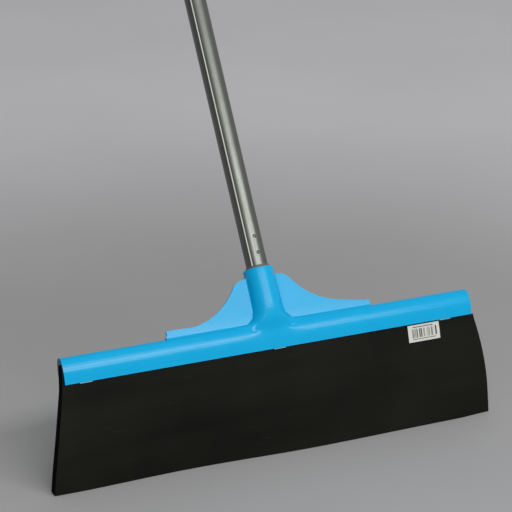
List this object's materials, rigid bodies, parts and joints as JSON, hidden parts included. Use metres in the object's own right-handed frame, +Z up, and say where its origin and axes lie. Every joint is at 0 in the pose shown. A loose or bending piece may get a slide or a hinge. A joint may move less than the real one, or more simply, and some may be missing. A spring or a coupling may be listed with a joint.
{
  "type": "floor squeegee",
  "caption": "Wide foam-bladed squeegee: a blue moulded head grips a black foam blade and a metal pole screws into its socket.",
  "frame": {"origin": "middle of the blade's foot, where it stands on the floor", "axes": "+X along the blade, +Y to the side the pole leans to, +Z up"},
  "size_m": [0.4874, 0.713, 1.2247],
  "materials": {
    "blue_polypropylene": "moulded, semi-gloss",
    "black_foam": "matte closed-cell foam",
    "label_paper": "coated paper with plain bars",
    "grey_plastic": "moulded, matte",
    "bare_steel": "drawn, shiny",
    "cap_plastic": "moulded, semi-gloss"
  },
  "bodies": {
    "root": {"head": "blue_polypropylene", "foam_blade": "black_foam", "blade_wedge_left": "blue_polypropylene", "blade_wedge_middle": "blue_polypropylene", "blade_wedge_right": "blue_polypropylene", "blade_label": "label_paper"},
    "washer": {"stop_washer": "grey_plastic"},
    "pole": {"thread_insert": "grey_plastic", "pole_tube": "bare_steel", "hang_cap": "cap_plastic"}
  },
  "joints": [
    {"name": "pole_advance", "type": "slide", "parent": "root", "child": "washer", "axis": [0, 0.5299, 0.848], "range_m": [0, 0.025]},
    {"name": "pole_turn", "type": "hinge", "parent": "washer", "child": "pole", "pos_m": [0, 0.02253, 0.1315], "axis": [0, 0.5299, 0.848], "range_deg": [0, 1800]}
  ],
  "couplings": [
    {"joint": "pole_turn", "follows": "pole_advance", "rad_per_m": 1256.6}
  ]
}
